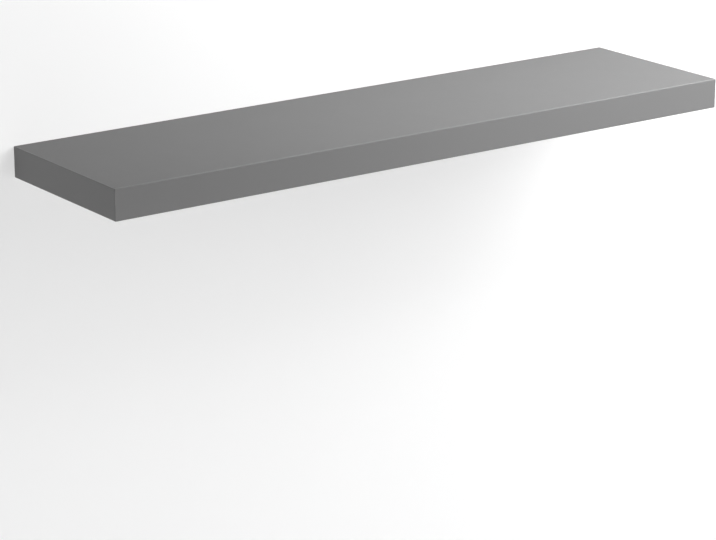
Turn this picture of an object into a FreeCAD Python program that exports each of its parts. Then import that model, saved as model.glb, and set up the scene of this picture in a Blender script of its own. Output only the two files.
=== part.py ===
# Floating wall shelf: a hollow-core board that slides onto a hidden steel bracket.
# Frame, in millimetres: +X along the shelf, +Y into the wall, +Z up. The wall is the plane y = 0 and the
# origin is the middle of the wall rail's back face. The shelf stands out from the wall towards -Y.
import FreeCAD
import Part
import math
import os

# Shelf board
SHELF_LENGTH = 1180.0
SHELF_DEPTH = 300.0
SHELF_THICKNESS = 50.0
SKIN_THICKNESS = 3.0
BAND_THICKNESS = 2.0
ARRIS_RADIUS = 1.6
FRONT_RAIL_WIDTH = 40.0
END_RAIL_WIDTH = 30.0
REAR_RAIL_WIDTH = 32.0
GUIDE_BLOCK_WIDTH = 60.0
CELL_ACROSS_FLATS = 30.0
CELL_WALL = 0.8
SMALLEST_CELL_AREA = 12.0

# Hidden bracket
WALL_RAIL_THICKNESS = 4.0
WALL_RAIL_HEIGHT = 38.0
WALL_RAIL_CORNER = 4.0
WALL_RAIL_EDGE_RADIUS = 0.5
WALL_RAIL_END_GAP = 4.0
ROD_COUNT = 4
ROD_END_MARGIN = 140.0
ROD_DIAMETER = 14.0
ROD_REACH = 200.0
ROD_CHAMFER = 2.0
SPIGOT_DIAMETER = 9.0
RIVET_HEAD_DIAMETER = 12.6
RIVET_HEAD_DEPTH = 1.8
RIVET_SINK = 0.2
SLOT_WIDTH = 6.5
SLOT_LENGTH = 16.0
SLOT_END_MARGIN = 34.0
SCREW_HEAD_ROOM = 6.0

# Rod sleeves and locking screws
SLEEVE_OUTER_DIAMETER = 19.0
SLEEVE_FLANGE_DIAMETER = 27.0
SLEEVE_FLANGE_THICKNESS = 2.0
SLEEVE_LEAD_IN = 0.8
LOCK_SCREW_DIAMETER = 6.0
LOCK_SCREW_LENGTH = 12.0
LOCK_SCREW_CHAMFER = 0.6
LOCK_POINT_DIAMETER = 4.0
LOCK_POINT_LENGTH = 1.4
HEX_KEY_SIZE = 3.0
HEX_SOCKET_DEPTH = 3.2
INSERT_DIAMETER = 10.0
INSERT_FLANGE_DIAMETER = 14.0
INSERT_FLANGE_THICKNESS = 1.0

# Clearances, each measured on the radius or across one gap
ROD_CLEARANCE = 0.1
BORE_CLEARANCE = 0.3
ROD_TIP_ROOM = 12.0
SEAT_CLEARANCE = 0.05
THREAD_CLEARANCE = 0.05
LOCK_TIP_GAP = 0.3
LOCK_PASSAGE_CLEARANCE = 0.4
CORE_GAP = 0.3

# Places that follow from the sizes above
HALF_LENGTH = SHELF_LENGTH / 2
HALF_THICKNESS = SHELF_THICKNESS / 2
BOARD_HALF_LENGTH = HALF_LENGTH - BAND_THICKNESS
BOARD_FRONT_Y = BAND_THICKNESS - SHELF_DEPTH
CORE_HALF_HEIGHT = HALF_THICKNESS - SKIN_THICKNESS
END_RAIL_INNER_X = BOARD_HALF_LENGTH - END_RAIL_WIDTH
FRONT_RAIL_BACK_Y = BOARD_FRONT_Y + FRONT_RAIL_WIDTH
RAIL_FRONT_Y = -WALL_RAIL_THICKNESS
REAR_RAIL_BACK_Y = RAIL_FRONT_Y - SCREW_HEAD_ROOM
REAR_RAIL_FRONT_Y = REAR_RAIL_BACK_Y - REAR_RAIL_WIDTH
ROD_TIP_Y = RAIL_FRONT_Y - ROD_REACH
WALL_RAIL_HALF_LENGTH = END_RAIL_INNER_X - WALL_RAIL_END_GAP
ROD_SPACING = (SHELF_LENGTH - 2 * ROD_END_MARGIN) / (ROD_COUNT - 1)
ROD_XS = [(i - (ROD_COUNT - 1) / 2) * ROD_SPACING for i in range(ROD_COUNT)]
OUTER_SLOT_X = WALL_RAIL_HALF_LENGTH - SLOT_END_MARGIN
MIDDLE_SLOT_X = (ROD_XS[-1] + ROD_XS[-2]) / 2
LOCK_Y = (REAR_RAIL_BACK_Y + REAR_RAIL_FRONT_Y) / 2
LOCK_XS = {"left": ROD_XS[0], "right": ROD_XS[-1]}
LOCK_TIP_Z = -ROD_DIAMETER / 2 - LOCK_TIP_GAP
INSERT_TOP_Z = -SLEEVE_OUTER_DIAMETER / 2 - BORE_CLEARANCE

Z_AXIS = FreeCAD.Vector(0, 0, 1)
OUTWARD = FreeCAD.Vector(0, -1, 0)


def block(x_range, y_range, z_range):
    """A rectangular solid between two limits on each axis."""
    (x0, x1), (y0, y1), (z0, z1) = x_range, y_range, z_range
    corner = FreeCAD.Vector(x0, y0, z0)
    return Part.makeBox(x1 - x0, y1 - y0, z1 - z0, corner)


def outward_rod(x, y_start, y_end, diameter):
    """A round bar at rod position x that runs from y_start out to y_end, away from the wall."""
    return Part.makeCylinder(diameter / 2, y_start - y_end, FreeCAD.Vector(x, y_start, 0), OUTWARD)


def upright_rod(x, z_low, z_high, diameter):
    """A round bar on a locking screw's axis, from z_low up to z_high."""
    return Part.makeCylinder(diameter / 2, z_high - z_low, FreeCAD.Vector(x, LOCK_Y, z_low), Z_AXIS)


def polygon_wire(points):
    """A closed wire through the points."""
    return Part.makePolygon([*points, points[0]])


def rounded_board():
    """The shelf's whole outer form, with every edge eased except those that meet the wall."""
    form = block(
        (-HALF_LENGTH, HALF_LENGTH), (-SHELF_DEPTH, 0), (-HALF_THICKNESS, HALF_THICKNESS)
    )
    eased = [e for e in form.Edges if any(v.Point.y < -BAND_THICKNESS for v in e.Vertexes)]
    return form.makeFillet(min(ARRIS_RADIUS, 0.95 * BAND_THICKNESS), eased)


def edge_bands():
    """The front and end edgings, cut from the eased outer form. The front one covers the end ones."""
    form = rounded_board()
    whole_z = (-HALF_THICKNESS, HALF_THICKNESS)
    end_y = (BOARD_FRONT_Y, 0)
    return {
        "front_edge_band": form.common(
            block((-HALF_LENGTH, HALF_LENGTH), (-SHELF_DEPTH, BOARD_FRONT_Y), whole_z)
        ),
        "left_edge_band": form.common(block((-HALF_LENGTH, -BOARD_HALF_LENGTH), end_y, whole_z)),
        "right_edge_band": form.common(block((BOARD_HALF_LENGTH, HALF_LENGTH), end_y, whole_z)),
    }


def insert_seat(x):
    """The space that a threaded insert takes in the bottom skin and the rear rail, with its clearance."""
    flange_top_z = -HALF_THICKNESS + INSERT_FLANGE_THICKNESS
    shank = upright_rod(x, -HALF_THICKNESS, INSERT_TOP_Z, INSERT_DIAMETER + 2 * SEAT_CLEARANCE)
    flange = upright_rod(x, -HALF_THICKNESS, flange_top_z, INSERT_FLANGE_DIAMETER + 2 * SEAT_CLEARANCE)
    return shank.fuse(flange)


def skins():
    """The top and bottom faces of the board. The bottom one has the holes of the locking inserts."""
    board_x = (-BOARD_HALF_LENGTH, BOARD_HALF_LENGTH)
    board_y = (BOARD_FRONT_Y, 0)
    top = block(board_x, board_y, (CORE_HALF_HEIGHT, HALF_THICKNESS))
    bottom = block(board_x, board_y, (-HALF_THICKNESS, -CORE_HALF_HEIGHT))
    return {
        "top_skin": top,
        "bottom_skin": bottom.cut([insert_seat(x) for x in LOCK_XS.values()]),
    }


def frame_rails():
    """The strips between the skins: one along the front, one at each end and the bored rear rail."""
    core_z = (-CORE_HALF_HEIGHT, CORE_HALF_HEIGHT)
    end_y = (FRONT_RAIL_BACK_Y, 0)
    rear = block(
        (-END_RAIL_INNER_X, END_RAIL_INNER_X), (REAR_RAIL_FRONT_Y, REAR_RAIL_BACK_Y), core_z
    )
    sleeve_bore = SLEEVE_OUTER_DIAMETER + 2 * SEAT_CLEARANCE
    bores = [outward_rod(x, REAR_RAIL_BACK_Y, REAR_RAIL_FRONT_Y, sleeve_bore) for x in ROD_XS]
    seats = [insert_seat(x) for x in LOCK_XS.values()]
    passage = LOCK_SCREW_DIAMETER + 2 * LOCK_PASSAGE_CLEARANCE
    passages = [upright_rod(x, INSERT_TOP_Z, 0, passage) for x in LOCK_XS.values()]
    return {
        "front_rail": block(
            (-BOARD_HALF_LENGTH, BOARD_HALF_LENGTH), (BOARD_FRONT_Y, FRONT_RAIL_BACK_Y), core_z
        ),
        "left_end_rail": block((-BOARD_HALF_LENGTH, -END_RAIL_INNER_X), end_y, core_z),
        "right_end_rail": block((END_RAIL_INNER_X, BOARD_HALF_LENGTH), end_y, core_z),
        "rear_rail": rear.cut([*bores, *seats, *passages]),
    }


def guide_block(x):
    """The bored block that holds a rod along its length, from the rear rail to the front rail."""
    half = GUIDE_BLOCK_WIDTH / 2
    solid = block(
        (x - half, x + half),
        (FRONT_RAIL_BACK_Y, REAR_RAIL_FRONT_Y),
        (-CORE_HALF_HEIGHT, CORE_HALF_HEIGHT),
    )
    bore_end_y = ROD_TIP_Y - ROD_TIP_ROOM
    return solid.cut(outward_rod(x, REAR_RAIL_FRONT_Y, bore_end_y, ROD_DIAMETER + 2 * BORE_CLEARANCE))


def clipped(points, axis, limit, keep_below):
    """A convex outline's part on one side of a line across the x (0) or y (1) axis."""
    kept = []
    for here, there in zip(points, points[1:] + points[:1]):
        inside_here = (here[axis] <= limit) == keep_below
        inside_there = (there[axis] <= limit) == keep_below
        if inside_here:
            kept.append(here)
        if inside_here != inside_there:
            share = (limit - here[axis]) / (there[axis] - here[axis])
            kept.append(here + (there - here) * share)
    return kept


def outline_area(points):
    """The area inside a flat outline."""
    pairs = zip(points, points[1:] + points[:1])
    return abs(sum(a.x * b.y - b.x * a.y for a, b in pairs)) / 2


def honeycomb_cells(x_range, y_range, z):
    """The open cells of one bay of core, clipped where the bay's outer wall runs through them."""
    corner_radius = (CELL_ACROSS_FLATS - CELL_WALL) / math.sqrt(3)
    row_pitch = CELL_ACROSS_FLATS * math.sqrt(3) / 2
    rows = int((y_range[1] - y_range[0]) / row_pitch) + 2
    columns = int((x_range[1] - x_range[0]) / CELL_ACROSS_FLATS) + 2
    cells = []
    for row in range(rows):
        for column in range(columns):
            centre = FreeCAD.Vector(
                x_range[0] + (column + 0.5 * (row % 2)) * CELL_ACROSS_FLATS,
                y_range[0] + row * row_pitch,
                z,
            )
            turns = [math.radians(60 * k + 30) for k in range(6)]
            cell = [
                centre + FreeCAD.Vector(corner_radius * math.cos(t), corner_radius * math.sin(t), 0)
                for t in turns
            ]
            for axis, (low, high) in enumerate((x_range, y_range)):
                cell = clipped(cell, axis, high - CELL_WALL, True) if cell else cell
                cell = clipped(cell, axis, low + CELL_WALL, False) if cell else cell
            if len(cell) > 2 and outline_area(cell) > SMALLEST_CELL_AREA:
                cells.append(cell)
    return cells


def honeycomb_bay(x_low, x_high):
    """One bay of paper honeycomb, as tall as the core, between two solid members of the frame."""
    x_range = (x_low + CORE_GAP, x_high - CORE_GAP)
    y_range = (FRONT_RAIL_BACK_Y + CORE_GAP, REAR_RAIL_FRONT_Y - CORE_GAP)
    z = -CORE_HALF_HEIGHT
    outer = [
        FreeCAD.Vector(x_range[i], y_range[j], z) for i, j in ((0, 0), (1, 0), (1, 1), (0, 1))
    ]
    holes = [polygon_wire(cell[::-1]) for cell in honeycomb_cells(x_range, y_range, z)]
    sheet = Part.Face([polygon_wire(outer), *holes])
    return sheet.extrude(FreeCAD.Vector(0, 0, 2 * CORE_HALF_HEIGHT))


def honeycomb_bays():
    """The core in every bay that the guide blocks leave between the end rails."""
    half = GUIDE_BLOCK_WIDTH / 2
    lows = [-END_RAIL_INNER_X, *[x + half for x in ROD_XS]]
    highs = [*[x - half for x in ROD_XS], END_RAIL_INNER_X]
    return {
        f"honeycomb_bay_{i}": honeycomb_bay(low, high)
        for i, (low, high) in enumerate(zip(lows, highs), start=1)
    }


def rod_sleeve(x, locked):
    """The flanged plastic sleeve in the rear rail that a rod slides through."""
    flange_back_y = REAR_RAIL_BACK_Y + SLEEVE_FLANGE_THICKNESS
    bore_diameter = ROD_DIAMETER + 2 * ROD_CLEARANCE
    body = outward_rod(x, REAR_RAIL_BACK_Y, REAR_RAIL_FRONT_Y, SLEEVE_OUTER_DIAMETER)
    flange = outward_rod(x, flange_back_y, REAR_RAIL_BACK_Y, SLEEVE_FLANGE_DIAMETER)
    bore = outward_rod(x, flange_back_y, REAR_RAIL_FRONT_Y, bore_diameter)
    lead_in = Part.makeCone(
        bore_diameter / 2 + SLEEVE_LEAD_IN,
        bore_diameter / 2,
        SLEEVE_LEAD_IN,
        FreeCAD.Vector(x, flange_back_y, 0),
        OUTWARD,
    )
    cuts = [bore, lead_in]
    if locked:
        passage = LOCK_SCREW_DIAMETER + 2 * LOCK_PASSAGE_CLEARANCE
        cuts.append(upright_rod(x, -SLEEVE_OUTER_DIAMETER, 0, passage))
    return body.fuse(flange).cut(cuts).removeSplitter()


def lock_insert(x):
    """The flanged threaded insert that a locking screw runs in, flush with the underside."""
    flange_top_z = -HALF_THICKNESS + INSERT_FLANGE_THICKNESS
    shank = upright_rod(x, -HALF_THICKNESS, INSERT_TOP_Z, INSERT_DIAMETER)
    flange = upright_rod(x, -HALF_THICKNESS, flange_top_z, INSERT_FLANGE_DIAMETER)
    bore = upright_rod(x, -HALF_THICKNESS, INSERT_TOP_Z, LOCK_SCREW_DIAMETER + 2 * THREAD_CLEARANCE)
    return shank.fuse(flange).cut(bore).removeSplitter()


def lock_screw(x):
    """A set screw with a dog point under its rod and a hexagon socket in its lower end."""
    tip_base_z = LOCK_TIP_Z - LOCK_POINT_LENGTH
    foot_z = LOCK_TIP_Z - LOCK_SCREW_LENGTH
    shank = upright_rod(x, foot_z, tip_base_z, LOCK_SCREW_DIAMETER)
    shank = shank.makeChamfer(LOCK_SCREW_CHAMFER, [e for e in shank.Edges if e.Closed])
    point = upright_rod(x, tip_base_z, LOCK_TIP_Z, LOCK_POINT_DIAMETER)
    corner_radius = HEX_KEY_SIZE / math.sqrt(3)
    corners = [
        FreeCAD.Vector(
            x + corner_radius * math.cos(math.radians(60 * k)),
            LOCK_Y + corner_radius * math.sin(math.radians(60 * k)),
            foot_z,
        )
        for k in range(6)
    ]
    socket = Part.Face(polygon_wire(corners)).extrude(Z_AXIS * HEX_SOCKET_DEPTH)
    return shank.fuse(point).cut(socket)


def spigot(x, clearance):
    """A rod's riveted end: a plain spigot that flares into a head sunk in the wall rail's back."""
    grow = 2 * clearance
    head_front_y = -RIVET_SINK - RIVET_HEAD_DEPTH
    neck = outward_rod(x, head_front_y, RAIL_FRONT_Y, SPIGOT_DIAMETER + grow)
    head = Part.makeCone(
        (RIVET_HEAD_DIAMETER + grow) / 2,
        (SPIGOT_DIAMETER + grow) / 2,
        RIVET_HEAD_DEPTH,
        FreeCAD.Vector(x, -RIVET_SINK, 0),
        OUTWARD,
    )
    return neck.fuse(head)


def support_rod(x):
    """A steel rod that carries the shelf, shouldered on the wall rail and riveted through it."""
    bar = outward_rod(x, RAIL_FRONT_Y, ROD_TIP_Y, ROD_DIAMETER)
    tip_edges = [e for e in bar.Edges if e.Closed and abs(e.CenterOfMass.y - ROD_TIP_Y) < ROD_CHAMFER]
    bar = bar.makeChamfer(ROD_CHAMFER, tip_edges)
    return bar.fuse(spigot(x, 0)).removeSplitter()


def screw_slot(x):
    """A slot for a wall screw, long enough along X to shift the rail when it is levelled."""
    half_run = (SLOT_LENGTH - SLOT_WIDTH) / 2
    through = (RAIL_FRONT_Y, 0)
    middle = block((x - half_run, x + half_run), through, (-SLOT_WIDTH / 2, SLOT_WIDTH / 2))
    ends = [outward_rod(x + side * half_run, 0, RAIL_FRONT_Y, SLOT_WIDTH) for side in (-1, 1)]
    return middle.fuse(ends).removeSplitter()


def wall_rail():
    """The flat steel rail that is screwed to the wall, with rolled edges, the rods' holes and screw slots."""
    plate = block(
        (-WALL_RAIL_HALF_LENGTH, WALL_RAIL_HALF_LENGTH),
        (RAIL_FRONT_Y, 0),
        (-WALL_RAIL_HEIGHT / 2, WALL_RAIL_HEIGHT / 2),
    )
    corner_edges = [
        e for e in plate.Edges if abs(e.tangentAt(e.FirstParameter).dot(OUTWARD)) > 0.5
    ]
    plate = plate.makeFillet(WALL_RAIL_CORNER, corner_edges)
    rim_edges = [e for e in plate.Edges if abs(e.tangentAt(e.FirstParameter).dot(OUTWARD)) < 0.5]
    plate = plate.makeFillet(min(WALL_RAIL_EDGE_RADIUS, 0.4 * WALL_RAIL_THICKNESS), rim_edges)
    slots = [screw_slot(side * x) for x in (OUTER_SLOT_X, MIDDLE_SLOT_X) for side in (-1, 1)]
    mouths = [outward_rod(x, 0, -RIVET_SINK, RIVET_HEAD_DIAMETER) for x in ROD_XS]
    spigots = [spigot(x, SEAT_CLEARANCE) for x in ROD_XS]
    return plate.cut([*slots, *mouths, *spigots])


def all_parts():
    """Every piece of the shelf and its bracket, by node name."""
    parts = {"wall_rail": wall_rail()}
    locked = set(LOCK_XS.values())
    for i, x in enumerate(ROD_XS, start=1):
        parts[f"support_rod_{i}"] = support_rod(x)
        parts[f"rod_sleeve_{i}"] = rod_sleeve(x, x in locked)
        parts[f"guide_block_{i}"] = guide_block(x)
    parts.update(skins())
    parts.update(edge_bands())
    parts.update(frame_rails())
    parts.update(honeycomb_bays())
    for side, x in LOCK_XS.items():
        parts[f"{side}_lock_insert"] = lock_insert(x)
        parts[f"{side}_lock_screw"] = lock_screw(x)
    return parts


def main():
    """Builds the parts and writes one STEP file for each."""
    os.makedirs("parts", exist_ok=True)
    for name, shape in all_parts().items():
        solids = shape.Solids
        whole = solids[0] if len(solids) == 1 else Part.makeCompound(solids)
        print(f"{name}: {len(solids)} solid, {whole.Volume / 1000:.2f} cm3, valid {whole.isValid()}")
        whole.exportStep(f"parts/{name}.step")


main()
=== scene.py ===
"""Dresses the floating wall shelf.

Every piece gets its finish, the edging and the locking screws are modelled in full, and a stage, soft lights
and the camera are set up round them.
"""

import logging
import math
from dataclasses import dataclass, field
from enum import Enum
from typing import Any

import bmesh
import bpy
from mathutils import Euler, Matrix, Vector


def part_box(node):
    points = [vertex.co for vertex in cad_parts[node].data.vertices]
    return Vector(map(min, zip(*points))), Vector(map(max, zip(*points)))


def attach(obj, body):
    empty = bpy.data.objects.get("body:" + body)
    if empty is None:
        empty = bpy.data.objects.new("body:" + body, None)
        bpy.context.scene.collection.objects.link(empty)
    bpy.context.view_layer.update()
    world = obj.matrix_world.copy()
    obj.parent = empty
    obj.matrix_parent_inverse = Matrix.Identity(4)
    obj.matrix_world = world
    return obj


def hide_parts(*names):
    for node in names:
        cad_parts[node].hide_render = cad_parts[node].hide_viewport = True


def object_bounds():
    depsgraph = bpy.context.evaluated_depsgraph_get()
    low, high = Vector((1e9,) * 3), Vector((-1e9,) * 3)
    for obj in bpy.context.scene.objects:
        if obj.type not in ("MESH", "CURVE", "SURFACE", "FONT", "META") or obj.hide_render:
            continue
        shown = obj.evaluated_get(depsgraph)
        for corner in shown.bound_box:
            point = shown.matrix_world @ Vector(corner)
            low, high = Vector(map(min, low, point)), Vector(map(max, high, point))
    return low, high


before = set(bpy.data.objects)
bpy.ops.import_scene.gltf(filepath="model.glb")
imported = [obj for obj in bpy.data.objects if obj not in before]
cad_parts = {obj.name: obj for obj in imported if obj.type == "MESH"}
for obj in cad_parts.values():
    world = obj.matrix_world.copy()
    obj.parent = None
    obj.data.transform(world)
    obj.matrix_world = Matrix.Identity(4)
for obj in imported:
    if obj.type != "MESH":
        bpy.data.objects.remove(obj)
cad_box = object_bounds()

logging.basicConfig(level=logging.INFO, format="%(message)s")
log = logging.getLogger("shelf")

MM = 0.001
# Places nearer than this, in metres, count as the same.
SAME_PLACE = 1e-6
# A Mix node's sockets when it mixes colours: the share, the two colours and the result.
SHARE, FIRST, SECOND, MIXED = 0, 6, 7, 2


def linear(hex_colour: str) -> tuple[float, float, float, float]:
    """Turns an sRGB hex colour to the linear values that a shader takes.

    Args:
        hex_colour: the colour, such as "#7f7f7f".

    Returns:
        Linear red, green, blue and an alpha of 1.
    """
    parts = [int(hex_colour[i : i + 2], 16) / 255 for i in (1, 3, 5)]
    r, g, b = (p / 12.92 if p <= 0.04045 else ((p + 0.055) / 1.055) ** 2.4 for p in parts)
    return r, g, b, 1.0


def grain(size_mm: float) -> float:
    """The scale, on Object coordinates, of a pattern whose features are that many millimetres wide."""
    return 1 / (size_mm * MM)


def add_node(
    tree: bpy.types.NodeTree, kind: str, inputs: dict[str | int, Any] | None = None, **settings: Any
) -> bpy.types.Node:
    """Adds one node to a material.

    Args:
        tree: the material's node tree.
        kind: the node's type, without the ShaderNode that starts its name.
        inputs: a value, or another node's output to link, for each input socket.
        settings: the node's own properties.

    Returns:
        The new node.
    """
    node = tree.nodes.new("ShaderNode" + kind)
    for name, value in settings.items():
        setattr(node, name, value)
    for socket, value in (inputs or {}).items():
        if isinstance(value, bpy.types.NodeSocket):
            tree.links.new(value, node.inputs[socket])
        else:
            node.inputs[socket].default_value = value
    return node


class Body(Enum):
    """The rigid bodies that new pieces ride on."""

    BOARD = "shelf_board"
    LEFT_LOCK = "left_lock"
    RIGHT_LOCK = "right_lock"


class Side(Enum):
    """The sides of the board that are edged, each with the node of its strip."""

    FRONT = "front_edge_band"
    LEFT = "left_edge_band"
    RIGHT = "right_edge_band"


@dataclass(frozen=True)
class Finish:
    """What every finish has: a name, a colour, and how rough and metallic its surface is."""

    name: str
    colour: str
    roughness: float
    metallic: float = 0.0

    def material(self) -> bpy.types.Material:
        """Builds the finish once and gives the same material to every piece that asks for it.

        Returns:
            The material.
        """
        made = bpy.data.materials.get(self.name)
        if made is None:
            made = bpy.data.materials.new(self.name)
            made.use_nodes = True
            shader = made.node_tree.nodes["Principled BSDF"]
            shader.inputs["Base Color"].default_value = linear(self.colour)
            shader.inputs["Roughness"].default_value = self.roughness
            shader.inputs["Metallic"].default_value = self.metallic
            place = add_node(made.node_tree, "TexCoord").outputs["Object"]
            self.draw(made.node_tree, shader, place)
        return made

    def draw(self, tree: bpy.types.NodeTree, shader: bpy.types.Node, place: bpy.types.NodeSocket) -> None:
        """Draws the finish's pattern from Object coordinates; a plain finish has none."""

    def dress(self, *pieces: bpy.types.Object) -> list[bpy.types.Object]:
        """Gives the finish to pieces.

        Args:
            pieces: the objects that take it, each with this one material.

        Returns:
            The same objects.
        """
        for piece in pieces:
            piece.data.materials.clear()
            piece.data.materials.append(self.material())
        return list(pieces)


@dataclass(frozen=True)
class MattFoil(Finish):
    """Finish foil, lacquered matt in the press: smooth and even, with a soft broad sheen at low angles."""

    gloss: float = 0.1
    cloud_mm: float = 60.0
    sheen_spread: float = 0.03
    grit_mm: float = 0.9
    grit_strength: float = 0.025
    grit_height_mm: float = 0.05

    def draw(self, tree: bpy.types.NodeTree, shader: bpy.types.Node, place: bpy.types.NodeSocket) -> None:
        """Draws the lacquer's faint clouds of sheen and its fine grit.

        Args:
            tree: the material's nodes.
            shader: the surface shader.
            place: Object coordinates.
        """
        shader.inputs["Specular IOR Level"].default_value = self.gloss
        clouds = add_node(tree, "TexNoise", {"Vector": place, "Scale": grain(self.cloud_mm), "Detail": 3.0})
        sheen = add_node(
            tree, "MapRange",
            {
                "Value": clouds.outputs["Fac"],
                "To Min": self.roughness - self.sheen_spread,
                "To Max": self.roughness + self.sheen_spread,
            },
        )
        tree.links.new(self.trim(tree, sheen.outputs["Result"]), shader.inputs["Roughness"])
        # The lacquer's own grit is a tenth of a millimetre; this is as coarse as it needs to show at all.
        grit = add_node(tree, "TexNoise", {"Vector": place, "Scale": grain(self.grit_mm), "Detail": 2.0})
        bump = add_node(
            tree, "Bump",
            {
                "Strength": self.grit_strength,
                "Distance": self.grit_height_mm * MM,
                "Height": grit.outputs["Fac"],
            },
        )
        tree.links.new(bump.outputs["Normal"], shader.inputs["Normal"])

    def trim(self, tree: bpy.types.NodeTree, rough: bpy.types.NodeSocket) -> bpy.types.NodeSocket:
        """Gives the roughness after any work on the pressed foil; plain foil has none."""
        return rough


@dataclass(frozen=True)
class FoilOnFibreboard(MattFoil):
    """Foil pressed on the face of a fibreboard skin, whose cut edges and holes stay bare and brown."""

    board_colour: str = "#a07a53"
    board_fleck: str = "#6d4f35"
    fibre_mm: float = 0.7
    face_height_mm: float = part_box("top_skin")[1].z / MM
    foil_mm: float = 0.12

    def draw(self, tree: bpy.types.NodeTree, shader: bpy.types.Node, place: bpy.types.NodeSocket) -> None:
        """Draws the foil on the outer faces, and fibres wherever it doesn't reach.

        Args:
            tree: the material's nodes.
            shader: the surface shader.
            place: Object coordinates.
        """
        super().draw(tree, shader, place)
        fibres = add_node(tree, "TexNoise", {"Vector": place, "Scale": grain(self.fibre_mm), "Detail": 5.0})
        bare = add_node(
            tree, "Mix",
            {
                SHARE: fibres.outputs["Fac"],
                FIRST: linear(self.board_colour),
                SECOND: linear(self.board_fleck),
            },
            data_type="RGBA",
        )
        axes = add_node(tree, "SeparateXYZ", {"Vector": place})
        height = add_node(tree, "Math", {0: axes.outputs["Z"]}, operation="ABSOLUTE")
        under_foil = (self.face_height_mm - self.foil_mm) * MM
        on_face = add_node(tree, "Math", {0: height.outputs[0], 1: under_foil}, operation="GREATER_THAN")
        colour = add_node(
            tree, "Mix",
            {SHARE: on_face.outputs[0], FIRST: bare.outputs[MIXED], SECOND: linear(self.colour)},
            data_type="RGBA",
        )
        tree.links.new(colour.outputs[MIXED], shader.inputs["Base Color"])


@dataclass(frozen=True)
class PolishedEdging(MattFoil):
    """A strip of edging whose rounds are trimmed and polished, so that they catch a thin line of light."""

    round_roughness: float = 0.28
    flat_facing: float = 0.99
    round_facing: float = 0.94

    def trim(self, tree: bpy.types.NodeTree, rough: bpy.types.NodeSocket) -> bpy.types.NodeSocket:
        """Makes the rounds smoother than the flats, which face straight along an axis.

        Args:
            tree: the material's nodes.
            rough: the roughness of the flats.

        Returns:
            The roughness of the whole strip.
        """
        facing = add_node(tree, "NewGeometry")
        sizes = add_node(tree, "VectorMath", {0: facing.outputs["Normal"]}, operation="ABSOLUTE")
        axes = add_node(tree, "SeparateXYZ", {"Vector": sizes.outputs["Vector"]})
        level = add_node(tree, "Math", {0: axes.outputs["X"], 1: axes.outputs["Y"]}, operation="MAXIMUM")
        most = add_node(tree, "Math", {0: level.outputs[0], 1: axes.outputs["Z"]}, operation="MAXIMUM")
        polished = add_node(
            tree, "MapRange",
            {
                "Value": most.outputs[0],
                "From Min": self.round_facing,
                "From Max": self.flat_facing,
                "To Min": self.round_roughness,
                "To Max": rough,
            },
        )
        return polished.outputs["Result"]


@dataclass(frozen=True)
class RawChipboard(Finish):
    """Chipboard, pressed from wood chips and sawn: small flat chips of many tones, with a few dark flecks."""

    chip_mm: float = 2.0
    flattening: tuple[float, float, float] = (0.6, 0.6, 1.6)
    bend_mm: float = 3.0
    bend_length_mm: float = 4.0
    dark: str = "#7d5c38"
    pale: str = "#d9bf92"
    fleck_start: float = 0.82
    fleck_full: float = 0.92
    fleck_share: float = 0.65
    saw_strength: float = 0.5
    saw_height_mm: float = 0.2

    def draw(self, tree: bpy.types.NodeTree, shader: bpy.types.Node, place: bpy.types.NodeSocket) -> None:
        """Draws the chips as bent cells of their own tone, torn to slightly different heights by the saw.

        Args:
            tree: the material's nodes.
            shader: the surface shader.
            place: Object coordinates.
        """
        warp = add_node(
            tree, "TexNoise", {"Vector": place, "Scale": grain(self.bend_length_mm), "Detail": 3.0}
        )
        bent = add_node(
            tree, "VectorMath",
            {0: warp.outputs["Color"], 1: (self.bend_mm * MM,) * 3, 2: place},
            operation="MULTIPLY_ADD",
        )
        pressed = add_node(tree, "Mapping", {"Vector": bent.outputs["Vector"], "Scale": self.flattening})
        chips = add_node(
            tree, "TexVoronoi", {"Vector": pressed.outputs["Vector"], "Scale": grain(self.chip_mm)}
        )
        tone = add_node(tree, "SeparateColor", {"Color": chips.outputs["Color"]})
        wood = add_node(
            tree, "Mix",
            {SHARE: tone.outputs["Red"], FIRST: linear(self.colour), SECOND: linear(self.pale)},
            data_type="RGBA",
        )
        fleck = add_node(
            tree, "MapRange",
            {
                "Value": tone.outputs["Green"],
                "From Min": self.fleck_start,
                "From Max": self.fleck_full,
                "To Max": self.fleck_share,
            },
        )
        colour = add_node(
            tree, "Mix",
            {SHARE: fleck.outputs["Result"], FIRST: wood.outputs[MIXED], SECOND: linear(self.dark)},
            data_type="RGBA",
        )
        tree.links.new(colour.outputs[MIXED], shader.inputs["Base Color"])
        bump = add_node(
            tree, "Bump",
            {
                "Strength": self.saw_strength,
                "Distance": self.saw_height_mm * MM,
                "Height": tone.outputs["Blue"],
            },
        )
        tree.links.new(bump.outputs["Normal"], shader.inputs["Normal"])


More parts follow.
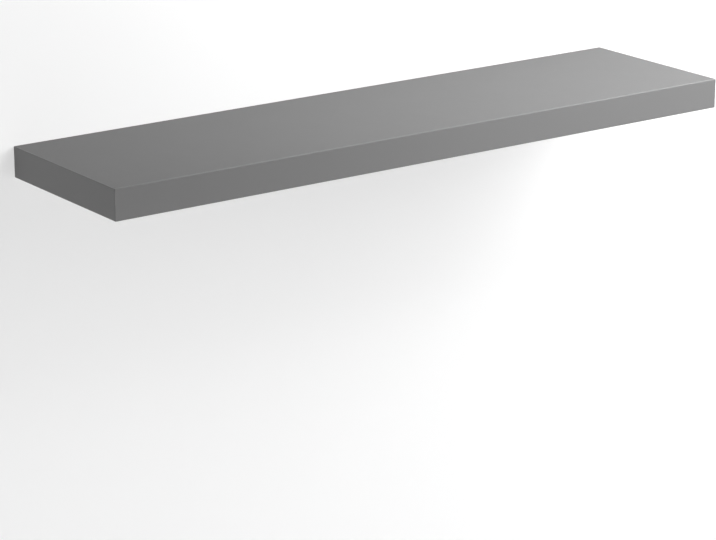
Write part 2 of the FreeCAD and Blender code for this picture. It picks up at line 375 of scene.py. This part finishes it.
@dataclass(frozen=True)
class ZincPlate(Finish):
    """Bright zinc on rolled or drawn steel: a cool clouded grey, with faint lines along the drawing."""

    lines_mm: tuple[float, float, float] = (40.0, 0.6, 0.6)
    line_strength: float = 0.08
    line_height_mm: float = 0.05
    cloud: str = "#b4b7bb"
    cloud_mm: float = 14.0
    smoother: float = 0.08
    rougher: float = 0.1

    def draw(self, tree: bpy.types.NodeTree, shader: bpy.types.Node, place: bpy.types.NodeSocket) -> None:
        """Draws the plating's clouds in tone and the drawing lines in roughness and relief.

        Args:
            tree: the material's nodes.
            shader: the surface shader.
            place: Object coordinates.
        """
        clouds = add_node(tree, "TexNoise", {"Vector": place, "Scale": grain(self.cloud_mm), "Detail": 4.0})
        tone = add_node(
            tree, "Mix",
            {SHARE: clouds.outputs["Fac"], FIRST: linear(self.colour), SECOND: linear(self.cloud)},
            data_type="RGBA",
        )
        tree.links.new(tone.outputs[MIXED], shader.inputs["Base Color"])
        scales = tuple(grain(size) for size in self.lines_mm)
        along = add_node(tree, "Mapping", {"Vector": place, "Scale": scales})
        lines = add_node(tree, "TexNoise", {"Vector": along.outputs["Vector"], "Scale": 1.0, "Detail": 2.0})
        rough = add_node(
            tree, "MapRange",
            {
                "Value": lines.outputs["Fac"],
                "To Min": self.roughness - self.smoother,
                "To Max": self.roughness + self.rougher,
            },
        )
        tree.links.new(rough.outputs["Result"], shader.inputs["Roughness"])
        bump = add_node(
            tree, "Bump",
            {
                "Strength": self.line_strength,
                "Distance": self.line_height_mm * MM,
                "Height": lines.outputs["Fac"],
            },
        )
        tree.links.new(bump.outputs["Normal"], shader.inputs["Normal"])


@dataclass(frozen=True)
class Grained(Finish):
    """A finish with one even grain: moulded nylon, turned brass, blackened steel or kraft paper."""

    grain_mm: float = 0.5
    fleck: str = "#000000"
    fleck_share: float = 0.4
    strength: float = 0.1
    height_mm: float = 0.1

    def draw(self, tree: bpy.types.NodeTree, shader: bpy.types.Node, place: bpy.types.NodeSocket) -> None:
        """Draws the grain as flecks of a second tone with a slight relief.

        Args:
            tree: the material's nodes.
            shader: the surface shader.
            place: Object coordinates.
        """
        noise = add_node(tree, "TexNoise", {"Vector": place, "Scale": grain(self.grain_mm), "Detail": 4.0})
        share = add_node(tree, "MapRange", {"Value": noise.outputs["Fac"], "To Max": self.fleck_share})
        tone = add_node(
            tree, "Mix",
            {SHARE: share.outputs["Result"], FIRST: linear(self.colour), SECOND: linear(self.fleck)},
            data_type="RGBA",
        )
        tree.links.new(tone.outputs[MIXED], shader.inputs["Base Color"])
        bump = add_node(
            tree, "Bump",
            {"Strength": self.strength, "Distance": self.height_mm * MM, "Height": noise.outputs["Fac"]},
        )
        tree.links.new(bump.outputs["Normal"], shader.inputs["Normal"])


SHELF_GREY = "#6e6e6e"
# Pressed foil: an even matt grey that pales slowly towards the light.
FOIL_ON_BOARD = FoilOnFibreboard("matt_grey_foil_on_fibreboard", SHELF_GREY, 0.58)
# Trimmed edging: the same grey, a little glossier, with a thin light line on its rounds.
FOIL_EDGING = PolishedEdging("matt_grey_edging", SHELF_GREY, 0.36, gloss=0.3)
# Sawn chipboard: small tan chips, dull and rough.
CHIPBOARD = RawChipboard("raw_chipboard", "#bf9a66", 0.85)
# Rolled strip, zinc plated: cool pale clouds, and lines along it that are drawn coarse so that they show.
ZINC_RAIL = ZincPlate("zinc_plated_rail", "#8f9296", 0.45, metallic=1.0)
# Drawn bar, zinc plated: smoother than the strip, with its lines along the bar.
ZINC_ROD = ZincPlate("zinc_plated_rod", "#979a9e", 0.33, metallic=1.0, lines_mm=(0.5, 60.0, 0.5))
# Moulded nylon: near black with a soft sheen.
NYLON = Grained("moulded_black_nylon", "#1b1b1c", 0.48, grain_mm=0.4, fleck="#262627", strength=0.06)
# Turned brass: warm and bright, with faint marks that are drawn coarse so that they show.
BRASS = Grained("turned_brass", "#c8a24f", 0.3, metallic=1.0, grain_mm=0.8, fleck="#a8803a", strength=0.03)
# Steel blackened in oil: a dark metal with a low shine.
BLACK_STEEL = Grained(
    "blackened_steel", "#3a3a3d", 0.38, metallic=1.0, grain_mm=0.6, fleck="#1c1c1e", strength=0.04
)
# Kraft paper: dull brown with short fibres.
KRAFT = Grained(
    "kraft_paper", "#b08a58", 0.9, grain_mm=1.2, fleck="#7f5d38", fleck_share=0.6, strength=0.15
)


def numbered(stem: str) -> list[bpy.types.Object]:
    """The CAD nodes of a repeated piece, such as support_rod_1 to support_rod_4 for support_rod."""
    return [node for name, node in sorted(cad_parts.items()) if name.startswith(stem + "_")]


def new_piece(name: str, shape: bmesh.types.BMesh, body: Body, slot: str, *nodes: str) -> bpy.types.Object:
    """Makes a finished bmesh an object of the shelf, in place of the CAD nodes that it stands for.

    Args:
        name: the object's name.
        shape: the mesh, in the shelf's frame in metres; it is freed here.
        body: the rigid body that it moves with.
        slot: the record's material slot; not used.
        nodes: the CAD nodes that it replaces.

    Returns:
        The object.
    """
    mesh = bpy.data.meshes.new(name)
    bmesh.ops.recalc_face_normals(shape, faces=shape.faces)
    for face in shape.faces:
        face.smooth = True
    shape.to_mesh(mesh)
    shape.free()
    piece = bpy.data.objects.new(name, mesh)
    bpy.context.scene.collection.objects.link(piece)
    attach(piece, body.value)
    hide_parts(*nodes)
    return piece


@dataclass
class EdgeBand:
    """One strip of edging, with its outer edges eased by a small round."""

    side: Side
    round_mm: float = 1.6
    round_segments: int = 6
    crease_deg: float = 40.0
    flat_weight: int = 100

    def eased_edges(self, shape: bmesh.types.BMesh, low: Vector, high: Vector) -> list[bmesh.types.BMEdge]:
        """Picks the edges of the plain strip that a hand can touch.

        Args:
            shape: the strip as a plain box.
            low: the box's lowest corner.
            high: its highest corner.

        Returns:
            The long edges of its outer face, and on the front strip, which covers the other two, those
            round its ends.
        """
        wraps = self.side is Side.FRONT
        axis = 1 if wraps else 0
        outer = high[axis] if self.side is Side.RIGHT else low[axis]
        eased = []
        for edge in shape.edges:
            start, end = (v.co for v in edge.verts)
            on_outer = all(abs(place[axis] - outer) < SAME_PLACE for place in (start, end))
            upright = abs(start.z - end.z) > SAME_PLACE
            across = abs(start.y - end.y) > SAME_PLACE
            if (on_outer and (wraps or not upright)) or (wraps and across):
                eased.append(edge)
        return eased

    def build(self) -> bpy.types.Object:
        """Builds the strip where its CAD node is.

        Returns:
            The strip.
        """
        node = self.side.value
        low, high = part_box(node)
        shape = bmesh.new()
        bmesh.ops.create_cube(shape, size=1.0)
        bmesh.ops.scale(shape, vec=high - low, verts=shape.verts)
        bmesh.ops.translate(shape, vec=(low + high) / 2, verts=shape.verts)
        bmesh.ops.bevel(
            shape, geom=self.eased_edges(shape, low, high), offset=self.round_mm * MM, offset_type="OFFSET",
            affect="EDGES", segments=self.round_segments, profile=0.5, material=-1, clamp_overlap=True,
        )
        strip = new_piece(node + "_eased", shape, Body.BOARD, "grey_edging", node)
        strip.data.set_sharp_from_angle(angle=math.radians(self.crease_deg))
        flatten = strip.modifiers.new("flat faces stay flat", "WEIGHTED_NORMAL")
        flatten.weight = self.flat_weight
        flatten.keep_sharp = True
        FOIL_EDGING.dress(strip)
        return strip


@dataclass
class ShelfBoard:
    """The hollow board: two skins on rails and blocks, a paper core, sleeves, inserts and edging."""

    skins: tuple[str, ...] = ("top_skin", "bottom_skin")
    rails: tuple[str, ...] = ("front_rail", "left_end_rail", "right_end_rail", "rear_rail")
    inserts: tuple[str, ...] = ("left_lock_insert", "right_lock_insert")

    def build(self) -> list[bpy.types.Object]:
        """Dresses the board's CAD nodes and lays on its edging.

        Returns:
            The board's pieces.
        """
        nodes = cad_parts
        return [
            *FOIL_ON_BOARD.dress(*(nodes[name] for name in self.skins)),
            *CHIPBOARD.dress(*(nodes[name] for name in self.rails), *numbered("guide_block")),
            *KRAFT.dress(*numbered("honeycomb_bay")),
            *NYLON.dress(*numbered("rod_sleeve")),
            *BRASS.dress(*(nodes[name] for name in self.inserts)),
            *(EdgeBand(side).build() for side in Side),
        ]


@dataclass
class WallBracket:
    """The hidden bracket: a flat rail on the wall and the rods riveted into it."""

    rail: str = "wall_rail"
    rod: str = "support_rod"

    def build(self) -> list[bpy.types.Object]:
        """Dresses the rail and its rods, and gives the bracket's pieces."""
        return [*ZINC_RAIL.dress(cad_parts[self.rail]), *ZINC_ROD.dress(*numbered(self.rod))]


@dataclass
class LockScrew:
    """A set screw with a real thread, a dog point on top and a hexagon socket underneath."""

    node: str
    body: Body
    pitch_mm: float = 1.0
    thread_depth_mm: float = 0.55
    root_share: float = 0.24
    crest_share: float = 0.12
    steps_per_turn: int = 32
    spare_turns: int = 3
    point_mm: float = 4.0
    point_length_mm: float = 1.4
    point_corners: int = 24
    key_mm: float = 3.0
    socket_depth_mm: float = 3.2
    socket_corners: int = 6
    crease_deg: float = 25.0
    cut_tolerance_mm: float = 0.0001

    def thread(self, radius: float, length: float) -> bmesh.types.BMesh:
        """Winds the thread round the Z axis, past both ends, and cuts it level there.

        Args:
            radius: the thread's outer radius in metres.
            length: the threaded length in metres, from z = 0 up.

        Returns:
            The open threaded tube.
        """
        pitch = self.pitch_mm * MM
        root = radius - self.thread_depth_mm * MM
        root_half = self.root_share / 2
        crest_half = self.crest_share / 2
        profile = (
            (root, 0.0), (root, root_half),
            (radius, 0.5 - crest_half), (radius, 0.5 + crest_half),
            (root, 1.0 - root_half), (root, 1.0),
        )
        shape = bmesh.new()
        start = self.spare_turns / 2
        points = [shape.verts.new((r, 0, (turn - start) * pitch)) for r, turn in profile]
        edges = [shape.edges.new(pair) for pair in zip(points, points[1:])]
        turns = math.ceil(length / pitch) + self.spare_turns
        bmesh.ops.spin(
            shape, geom=[*points, *edges], cent=(0, 0, 0), axis=(0, 0, 1),
            dvec=(0, 0, pitch / self.steps_per_turn), angle=turns * math.tau,
            steps=turns * self.steps_per_turn, use_merge=False,
        )
        bmesh.ops.remove_doubles(shape, verts=shape.verts, dist=SAME_PLACE)
        for height, way in ((0.0, -1), (length, 1)):
            bmesh.ops.bisect_plane(
                shape, geom=[*shape.verts, *shape.edges, *shape.faces], dist=self.cut_tolerance_mm * MM,
                plane_co=(0, 0, height), plane_no=(0, 0, way), clear_outer=True,
            )
        return shape

    @staticmethod
    def close_end(shape: bmesh.types.BMesh, height: float, inner: float, corners: int, rise: float) -> None:
        """Closes one end with a flat ring and raises or sinks the middle of it.

        Args:
            shape: the screw.
            height: where the open end is.
            inner: the radius of the middle's corners.
            corners: how many corners the middle has.
            rise: how far the middle goes up.
        """
        rim = [
            edge for edge in shape.edges
            if edge.is_boundary and all(abs(v.co.z - height) < SAME_PLACE for v in edge.verts)
        ]
        ring = bmesh.ops.create_circle(
            shape, segments=corners, radius=inner, matrix=Matrix.Translation((0, 0, height))
        )["verts"]
        # Each edge once and in order
        inside = list(dict.fromkeys(edge for vert in ring for edge in vert.link_edges))
        bmesh.ops.triangle_fill(shape, edges=[*rim, *inside], use_beauty=True, normal=(0, 0, 1))
        moved = bmesh.ops.extrude_edge_only(shape, edges=inside)["geom"]
        far_verts = [part for part in moved if isinstance(part, bmesh.types.BMVert)]
        far_edges = [part for part in moved if isinstance(part, bmesh.types.BMEdge)]
        bmesh.ops.translate(shape, vec=(0, 0, rise), verts=far_verts)
        middle = bmesh.ops.contextual_create(shape, geom=far_edges)["faces"]
        # As a fan of triangles, the flat middle comes out the same in each run.
        bmesh.ops.poke(shape, faces=middle)

    def build(self) -> bpy.types.Object:
        """Builds the screw where its CAD node is.

        Returns:
            The screw.
        """
        low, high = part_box(self.node)
        centre = (low + high) / 2
        length = high.z - low.z - self.point_length_mm * MM
        point_radius = self.point_mm / 2 * MM
        socket_radius = self.key_mm / math.sqrt(3) * MM
        shape = self.thread((high.x - low.x) / 2, length)
        self.close_end(shape, length, point_radius, self.point_corners, self.point_length_mm * MM)
        self.close_end(shape, 0.0, socket_radius, self.socket_corners, self.socket_depth_mm * MM)
        bmesh.ops.translate(shape, vec=(centre.x, centre.y, low.z), verts=shape.verts)
        screw = new_piece(self.node + "_threaded", shape, self.body, "screw_steel", self.node)
        screw.data.set_sharp_from_angle(angle=math.radians(self.crease_deg))
        BLACK_STEEL.dress(screw)
        return screw


@dataclass
class Stage:
    """A pale wall behind the shelf that is clear from behind, and a pale floor well below it, in metres."""

    wall_colour: str = "#bababa"
    wall_glow: float = 0.45
    wall_width: float = 4.2
    wall_height: float = 2.8
    wall_gap: float = 0.0005
    floor_colour: str = "#ececec"
    floor_glow: float = 0.76
    floor_width: float = 70.0
    drop: float = 1.4
    roughness: float = 0.9
    gloss: float = 0.1

    def sheet(self, name: str, size: Vector, turn: Euler, place: Vector) -> bpy.types.Object:
        """Makes one large flat sheet of the stage.

        Args:
            name: the sheet's name.
            size: its width and length.
            turn: how it is turned from lying flat.
            place: where its middle is.

        Returns:
            The sheet.
        """
        shape = bmesh.new()
        bmesh.ops.create_grid(shape, x_segments=1, y_segments=1, size=0.5)
        bmesh.ops.scale(shape, vec=size, verts=shape.verts)
        stand = Matrix.Translation(place) @ turn.to_matrix().to_4x4()
        bmesh.ops.transform(shape, matrix=stand, verts=shape.verts)
        mesh = bpy.data.meshes.new(name)
        shape.to_mesh(mesh)
        shape.free()
        sheet = bpy.data.objects.new(name, mesh)
        bpy.context.scene.collection.objects.link(sheet)
        return sheet

    def paint(self, name: str, colour: str, glow: float) -> bpy.types.Material:
        """Makes the matt paint of a sheet, which glows a little so that shadows on it stay soft and pale.

        Args:
            name: the paint's name.
            colour: its colour.
            glow: the light that it gives off by itself.

        Returns:
            The material.
        """
        paint = bpy.data.materials.new(name)
        paint.use_nodes = True
        shader = paint.node_tree.nodes["Principled BSDF"]
        shader.inputs["Base Color"].default_value = linear(colour)
        shader.inputs["Roughness"].default_value = self.roughness
        shader.inputs["Specular IOR Level"].default_value = self.gloss
        shader.inputs["Emission Color"].default_value = linear("#ffffff")
        shader.inputs["Emission Strength"].default_value = glow
        return paint

    @staticmethod
    def clear_from_behind(paint: bpy.types.Material) -> None:
        """Makes a sheet's back see-through, so that the shelf can be seen from behind the wall.

        Args:
            paint: the sheet's paint.
        """
        tree = paint.node_tree
        side = add_node(tree, "NewGeometry")
        clear = add_node(tree, "BsdfTransparent")
        front = tree.nodes["Principled BSDF"].outputs["BSDF"]
        both = add_node(
            tree, "MixShader", {0: side.outputs["Backfacing"], 1: front, 2: clear.outputs["BSDF"]}
        )
        tree.links.new(both.outputs["Shader"], tree.nodes["Material Output"].inputs["Surface"])

    @staticmethod
    def glow_without_lighting(paint: bpy.types.Material, glow: float) -> None:
        """Lets a sheet look bright without lighting the shelf.

        Args:
            paint: the sheet's paint.
            glow: how bright it looks by itself.
        """
        tree = paint.node_tree
        ray = add_node(tree, "LightPath")
        seen = add_node(tree, "Math", {0: ray.outputs["Is Camera Ray"], 1: glow}, operation="MULTIPLY")
        tree.links.new(seen.outputs[0], tree.nodes["Principled BSDF"].inputs["Emission Strength"])

    def build(self) -> None:
        """Sets up the wall and the floor."""
        wall = self.sheet(
            "stage_wall", Vector((self.wall_width, self.wall_height, 1)), Euler((math.radians(90), 0, 0)),
            Vector((0, self.wall_gap, self.wall_height / 2 - self.drop)),
        )
        wall_paint = self.paint("wall_paint", self.wall_colour, self.wall_glow)
        self.clear_from_behind(wall_paint)
        wall.data.materials.append(wall_paint)
        # The light behind the wall has to reach the shelf's back through it.
        wall.visible_shadow = False
        floor = self.sheet(
            "stage_floor", Vector((self.floor_width, self.floor_width, 1)), Euler((0, 0, 0)),
            Vector((0, 0, -self.drop)),
        )
        floor_paint = self.paint("floor_paint", self.floor_colour, self.floor_glow)
        self.glow_without_lighting(floor_paint, self.floor_glow)
        floor.data.materials.append(floor_paint)


@dataclass
class SoftLight:
    """One soft studio light, in metres and watts."""

    name: str
    place: Vector
    aim: Vector
    width: float
    height: float
    watts: float
    shadow: bool = True

    def build(self) -> None:
        """Hangs the light and turns it to what it lights."""
        lamp = bpy.data.lights.new(self.name, "AREA")
        lamp.shape = "RECTANGLE"
        lamp.size = self.width
        lamp.size_y = self.height
        lamp.energy = self.watts
        lamp.use_shadow = self.shadow
        holder = bpy.data.objects.new(self.name, lamp)
        holder.location = self.place
        holder.rotation_euler = (self.aim - self.place).to_track_quat("-Z", "Y").to_euler()
        holder.visible_camera = False
        bpy.context.scene.collection.objects.link(holder)


@dataclass
class Studio:
    """The lights, the even light from all round, and how the picture is developed."""

    surround: float = 0.1
    backdrop: float = 0.85
    right_half: Vector = field(default_factory=lambda: Vector((0.3, -0.15, 0)))
    left_corner: Vector = field(default_factory=lambda: Vector((cad_box[0][0], cad_box[0][1], 0)))
    rail_middle: Vector = field(default_factory=lambda: Vector((0, 0, 0)))

    def panels(self) -> list[SoftLight]:
        """Lists the soft lights.

        Returns:
            A key from the right, two fills above, one below, and strips for the left corner and the back.
        """
        return [
            SoftLight(
                "key_panel", Vector((2.05, -1.1, 0.9)), self.right_half, width=1.4, height=1.4, watts=62.0
            ),
            SoftLight(
                "top_panel", Vector((0.4, -0.8, 1.0)), self.right_half, width=0.7, height=0.7, watts=11.0
            ),
            SoftLight(
                "near_panel", Vector((0.9, -0.6, 0.7)), self.right_half, width=0.5, height=0.5, watts=3.8
            ),
            SoftLight(
                "low_panel", Vector((1.8, -1.85, -0.55)), self.right_half, width=1.3, height=1.3, watts=13.5
            ),
            # With a shadow, this low strip would draw the shelf a second time on the wall above it.
            SoftLight(
                "corner_panel", Vector((-1.0, -1.35, -0.36)), self.left_corner, width=0.6, height=0.15,
                watts=6.0, shadow=False,
            ),
            SoftLight("back_panel", Vector((0, 1.2, 0)), self.rail_middle, width=1.1, height=0.05, watts=6.0),
        ]

    def build(self) -> None:
        """Hangs the lights and sets the surround."""
        for panel in self.panels():
            panel.build()
        world = bpy.data.worlds.new("studio_surround")
        bpy.context.scene.world = world
        world.use_nodes = True
        tree = world.node_tree
        white = linear("#ffffff")
        surround = tree.nodes["Background"]
        surround.inputs["Color"].default_value = white
        surround.inputs["Strength"].default_value = self.surround
        backdrop = add_node(tree, "Background", {"Color": white, "Strength": self.backdrop})
        ray = add_node(tree, "LightPath")
        both = add_node(
            tree, "MixShader",
            {0: ray.outputs["Is Camera Ray"], 1: surround.outputs[0], 2: backdrop.outputs[0]},
        )
        tree.links.new(both.outputs[0], tree.nodes["World Output"].inputs["Surface"])
        bpy.context.scene.view_settings.view_transform = "Standard"


@dataclass
class PhotoCamera:
    """The camera where the photograph was taken from, found from the shelf's edges and corners."""

    place: Vector = field(default_factory=lambda: Vector((-2.529457, -3.594614, 1.092077)))
    turn_deg: float = 35.77442
    tilt_deg: float = 17.35679
    focal_px: float = 2729.0116
    image_width_px: float = 716.0
    sensor_mm: float = 36.0
    sight: float = 100.0

    def build(self) -> None:
        """Sets up the camera."""
        lens = bpy.data.cameras.new("photo_camera")
        lens.sensor_width = self.sensor_mm
        lens.lens = self.focal_px / self.image_width_px * self.sensor_mm
        lens.clip_end = self.sight
        holder = bpy.data.objects.new("photo_camera", lens)
        holder.location = self.place
        holder.rotation_euler = (math.radians(90 - self.tilt_deg), 0, math.radians(-self.turn_deg))
        bpy.context.scene.collection.objects.link(holder)
        bpy.context.scene.camera = holder


def main() -> None:
    """Builds and dresses the shelf, reports its pieces, and sets up the stage round it."""
    pieces = [
        *ShelfBoard().build(),
        *WallBracket().build(),
        LockScrew("left_lock_screw", Body.LEFT_LOCK).build(),
        LockScrew("right_lock_screw", Body.RIGHT_LOCK).build(),
    ]
    for piece in pieces:
        log.info("%s: %s, %d faces", piece.name, piece.active_material.name, len(piece.data.polygons))
    Stage().build()
    Studio().build()
    PhotoCamera().build()


if __name__ == "__main__":
    main()
